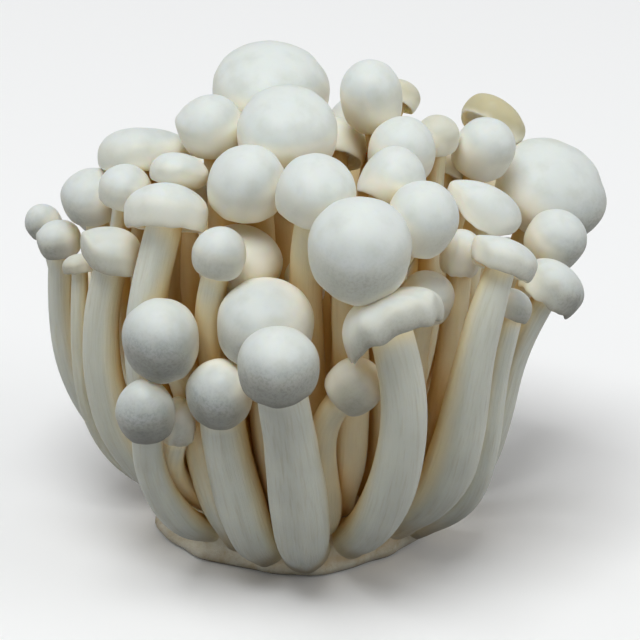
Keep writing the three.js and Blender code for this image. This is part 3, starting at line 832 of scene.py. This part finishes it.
def flesh_material():
    """Pale mottled caps, streaked stems and tan gills, with painted shade where they face the floor,
    grey blotches darker on the shaded side, and, deep in the crowd, painted light on the caps and
    stems browner, partly their own tan and partly painted shade.
    """
    shader = Shader("mushroom_flesh")
    gill, stem, margin = shader.split(shader.attribute("coat", "Color"))[:3]
    creamy = shader.attribute("coat", "Alpha")
    painted_darkening, deep = shader.split(shader.attribute("shade", "Vector"))[:2]
    grain = shader.attribute("grain", "Vector")
    clouds = shader.noise(grain, scale=0.16, detail=3, roughness=0.5)
    specks = shader.noise(grain, scale=1.3, detail=4, roughness=0.65)
    patches = shader.noise(grain, scale=1.2, detail=5, roughness=0.7)
    streaks = shader.noise(shader.scaled(grain, STREAK_SCALE), scale=1, detail=4, roughness=0.6)

    cap = shader.patchy(CAP_COLOUR, CAP_MOTTLE, clouds, low=0.42, high=0.75)
    cap = shader.patchy(cap, CAP_MOTTLE, specks, low=0.55, high=0.8, share=0.35)
    # Grey blotches on the caps' shaded side: real mottling, stronger where the painted shade is
    # darker, so partly painted shade
    shadow_side = shader.ramp(painted_darkening, low=0.95, high=0.5)
    blotches_in_shade = shader.math("MULTIPLY", shadow_side, BLOTCH_AND_SHADE_SHARE)
    cap = shader.patchy(cap, BLOTCH_AND_SHADE_COLOUR, patches, low=0.44, high=0.62, share=blotches_in_shade)

    stalk = shader.patchy(STEM_COLOUR, STREAK_COLOUR, streaks, low=0.45, high=0.75, share=0.6)
    along = shader.split(grain)[2]
    ragged = shader.math("ADD", along, shader.math("MULTIPLY", streaks, FOOT_RAGGED))
    stalk = shader.patchy(stalk, FOOT_COLOUR, ragged, *FOOT_FADE)

    colour = shader.mix(stem, cap, stalk)
    colour = shader.mix(shader.math("MULTIPLY", margin, MARGIN_SHARE), colour, MARGIN_COLOUR)
    colour = shader.mix(creamy, colour, CREAM_COLOUR)
    colour = shader.mix(gill, colour, GILL_COLOUR)
    # Painted light and shade deep in the crowd: caps lighter and creamier, stems browner, partly their
    # own tan
    deep_light_and_shade_colour = shader.mix(stem, DEEP_CAP_PAINTED_LIGHT_COLOUR, DEEP_TAN_AND_SHADE_COLOUR)
    crevice_light_and_shade_colour = shader.mix(stem, CREVICE_CAP_PAINTED_LIGHT_COLOUR, CREVICE_TAN_AND_SHADE_COLOUR)
    colour = shader.patchy(colour, deep_light_and_shade_colour, deep, low=0.25, high=0.75)
    colour = shader.patchy(colour, crevice_light_and_shade_colour, deep, low=0.65, high=1)
    # Painted shade: the colour is multiplied by the stored darkening, at a steeper power on caps than
    # on stems
    less = shader.math("MULTIPLY", stem, CAP_DARKENING_POWER - STEM_DARKENING_POWER)
    darkening_power = shader.math("SUBTRACT", CAP_DARKENING_POWER, less)
    colour = shader.mix(1, colour, shader.math("POWER", painted_darkening, darkening_power), kind="MULTIPLY")

    normal = shader.bump(specks, strength=0.25, distance=0.12 * MM)
    stem_streaks = shader.math("MULTIPLY", streaks, stem)
    normal = shader.bump(stem_streaks, strength=0.5, distance=0.35 * MM, normal=normal)
    return shader.finish(
        colour, normal, Roughness=0.5, Specular_IOR_Level=0.35, Subsurface_Weight=0.6,
        Subsurface_Radius=(1.0, 0.75, 0.45), Subsurface_Scale=2.5 * MM)


def base_material():
    """Stained and fuzzy tissue, browner deep between the feet, partly its own tone and partly painted
    shade, and darker where it faces the floor, which is painted shade.
    """
    shader = Shader("joined_base_tissue")
    painted_darkening, deep = shader.split(shader.attribute("shade", "Vector"))[:2]
    grain = shader.attribute("grain", "Vector")
    stains = shader.noise(grain, scale=0.25, detail=5, roughness=0.6)
    fuzz = shader.noise(grain, scale=1.6, detail=5, roughness=0.7)
    colour = shader.patchy(BASE_COLOUR, BASE_STAIN, stains, low=0.3, high=0.75)
    colour = shader.patchy(colour, BASE_FUZZ, fuzz, low=0.45, high=0.8, share=0.4)
    # Painted shade, partly the tissue's own brown: browner deep between the feet, then darker where it
    # faces the floor
    colour = shader.patchy(colour, BASE_DEEP_SHADE_COLOUR, deep, low=0.4, high=1)
    colour = shader.mix(1, colour, painted_darkening, kind="MULTIPLY")
    return shader.finish(
        colour, shader.bump(fuzz, strength=0.6, distance=0.6 * MM), Roughness=0.75,
        Subsurface_Weight=0.2, Subsurface_Radius=(1.0, 0.7, 0.4), Subsurface_Scale=1.5 * MM)


def floor_material():
    shader = Shader("pale_floor")
    shader.surface.inputs["Base Color"].default_value = FLOOR_COLOUR
    shader.surface.inputs["Roughness"].default_value = FLOOR_ROUGHNESS
    return shader.material


# The camera, the lights and the floor

def make_camera():
    data = bpy.data.cameras.new("camera")
    data.lens = LENS
    data.sensor_width = SENSOR
    data.clip_start, data.clip_end = CLIP
    camera = bpy.data.objects.new("camera", data)
    camera.location = CAMERA
    camera.rotation_euler = (TARGET - CAMERA).to_track_quat("-Z", "Y").to_euler()
    bpy.context.scene.collection.objects.link(camera)
    bpy.context.scene.camera = camera


def make_light(name, place, sides, power, colour):
    data = bpy.data.lights.new(name, "AREA")
    data.shape = "RECTANGLE"
    data.size, data.size_y = sides
    data.energy = power
    data.color = colour
    light = bpy.data.objects.new(name, data)
    light.location = place
    light.rotation_euler = (LIGHT_AIM - light.location).to_track_quat("-Z", "Y").to_euler()
    bpy.context.scene.collection.objects.link(light)


def make_stage():
    """The floor, the sky, and colours as they are."""
    mesh = bpy.data.meshes.new("floor")
    corners = [(x * FLOOR_REACH, y * FLOOR_REACH, 0) for x, y in [(-1, -1), (1, -1), (1, 1), (-1, 1)]]
    mesh.from_pydata(corners, [], [(0, 1, 2, 3)])
    mesh.materials.append(floor_material())
    floor = bpy.data.objects.new("floor", mesh)
    bpy.context.scene.collection.objects.link(floor)
    world = bpy.data.worlds.new("world")
    world.use_nodes = True
    background = world.node_tree.nodes["Background"]
    background.inputs["Color"].default_value = SKY_COLOUR
    background.inputs["Strength"].default_value = SKY_STRENGTH
    bpy.context.scene.world = world
    bpy.context.scene.view_settings.view_transform = "Standard"


# The bunch

def make_bunch():
    """Every mushroom, the base that they grow from, and then the painted shade on each."""
    flesh = flesh_material()
    nodes = sorted(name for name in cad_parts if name.startswith("mushroom_"))
    made = []
    feet = []
    for number, node in enumerate(nodes):
        packed = packed_rings(node)
        shape = {**measured_cap(packed), **measured_stem(packed)}
        feet.append((shape["path"][0], shape["thickness"][0]))
        shape = grown(node, shape, np.random.default_rng(number + 1))
        made.append(mushroom(node, shape, flesh))
    made.append(joined_base(feet, base_material()))
    tree = packed_tree()
    for number, (piece, rings) in enumerate(made):
        sizes = [len(ring["points"]) for ring in rings]
        shade(tree, piece, sizes, np.random.default_rng(number))


make_camera()
make_stage()
for name, light in LIGHTS.items():
    make_light(name, *light)
make_bunch()

bpy.context.view_layer.update()
